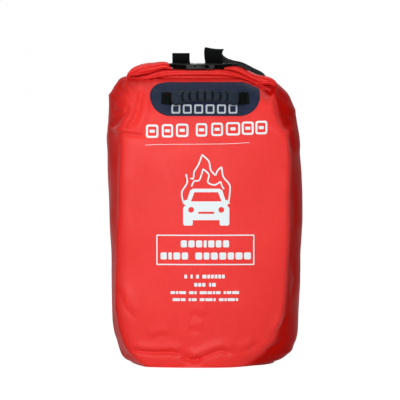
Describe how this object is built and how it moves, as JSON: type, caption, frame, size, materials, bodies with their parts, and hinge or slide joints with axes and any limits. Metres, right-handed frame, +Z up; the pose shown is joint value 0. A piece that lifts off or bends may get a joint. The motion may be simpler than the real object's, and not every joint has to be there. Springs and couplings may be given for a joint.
{
  "type": "vehicle fire blanket in bag",
  "caption": "Large folded fire blanket standing in a red roll-top carrying bag, with a buckled rolled mouth, a moulded front grip and shoulder straps on the back.",
  "frame": {"origin": "centre of the flat base's underside", "axes": "+Z up through the closure, +X to the right of someone facing the front, the front with the grip faces -Y"},
  "size_m": [0.4109, 0.2814, 0.6763],
  "materials": {
    "red_fabric": "semi-gloss coated",
    "base_fabric": "coated, worn",
    "patch_rubber": "satin",
    "grip_rubber": "matt, ribbed",
    "black_webbing": "woven",
    "black_plastic": "moulded",
    "glass_cloth": "coated glass cloth",
    "orange_webbing": "woven",
    "strip_plastic": "flexible strip"
  },
  "bodies": {
    "bag": {"bag_wall": "red_fabric", "bag_base": "base_fabric", "rear_seam_tape": "red_fabric", "handle_patch": "patch_rubber", "grip_tab_left": "black_webbing", "grip_tab_right": "black_webbing", "strap_anchor_patch": "red_fabric", "left_lower_anchor_patch": "red_fabric", "right_lower_anchor_patch": "red_fabric", "left_shoulder_strap": "black_webbing", "right_shoulder_strap": "black_webbing", "left_lower_strap": "black_webbing", "right_lower_strap": "black_webbing", "folded_blanket": "glass_cloth", "front_left_pull": "orange_webbing", "front_right_pull": "orange_webbing", "rear_left_pull": "orange_webbing", "rear_right_pull": "orange_webbing"},
    "grip": {"hand_grip": "grip_rubber", "grip_webbing": "black_webbing"},
    "closure": {"rolled_mouth": "red_fabric", "front_stiffener": "strip_plastic", "rear_stiffener": "strip_plastic", "left_closure_strap": "black_webbing", "right_closure_strap": "black_webbing", "buckle_housing": "black_plastic"},
    "buckle_male": {"buckle_male_block": "black_plastic"},
    "front_prong": {"buckle_front_prong": "black_plastic"},
    "rear_prong": {"buckle_rear_prong": "black_plastic"},
    "left_adjuster": {"left_strap_adjuster": "black_plastic"},
    "right_adjuster": {"right_strap_adjuster": "black_plastic"}
  },
  "joints": [
    {"name": "grip_swing", "type": "hinge", "parent": "bag", "child": "grip", "pos_m": [0, -0.09956, 0.57645], "axis": [-1, 0, 0], "range_deg": [-36, 41]},
    {"name": "closure_tilt", "type": "hinge", "parent": "bag", "child": "closure", "pos_m": [-0.01, 0, 0.611], "axis": [1, 0, 0], "range_deg": [-12, 12], "stiffness_Nm_per_rad": 1.5},
    {"name": "buckle_release", "type": "slide", "parent": "closure", "child": "buckle_male", "axis": [-1, 0, 0], "range_m": [0, 0.028], "deforming": ["left_closure_strap", "buckle_front_prong", "buckle_rear_prong"]},
    {"name": "front_prong_squeeze", "type": "hinge", "parent": "buckle_male", "child": "front_prong", "pos_m": [-0.0207, -0.0159, 0.63965], "axis": [0, 0, 1], "range_deg": [0, 10], "stiffness_Nm_per_rad": 0.5},
    {"name": "rear_prong_squeeze", "type": "hinge", "parent": "buckle_male", "child": "rear_prong", "pos_m": [-0.0207, 0.0159, 0.63965], "axis": [0, 0, 1], "range_deg": [-10, 0], "stiffness_Nm_per_rad": 0.5},
    {"name": "left_adjuster_tilt", "type": "hinge", "parent": "bag", "child": "left_adjuster", "pos_m": [-0.128, 0.13965, 0.25275], "axis": [1, 0, 0], "range_deg": [-8, 35], "deforming": ["left_lower_strap"]},
    {"name": "right_adjuster_tilt", "type": "hinge", "parent": "bag", "child": "right_adjuster", "pos_m": [0.128, 0.13965, 0.25275], "axis": [1, 0, 0], "range_deg": [-8, 35], "deforming": ["right_lower_strap"]}
  ],
  "couplings": [
    {"joint": "rear_prong_squeeze", "follows": "front_prong_squeeze", "ratio": -1}
  ]
}
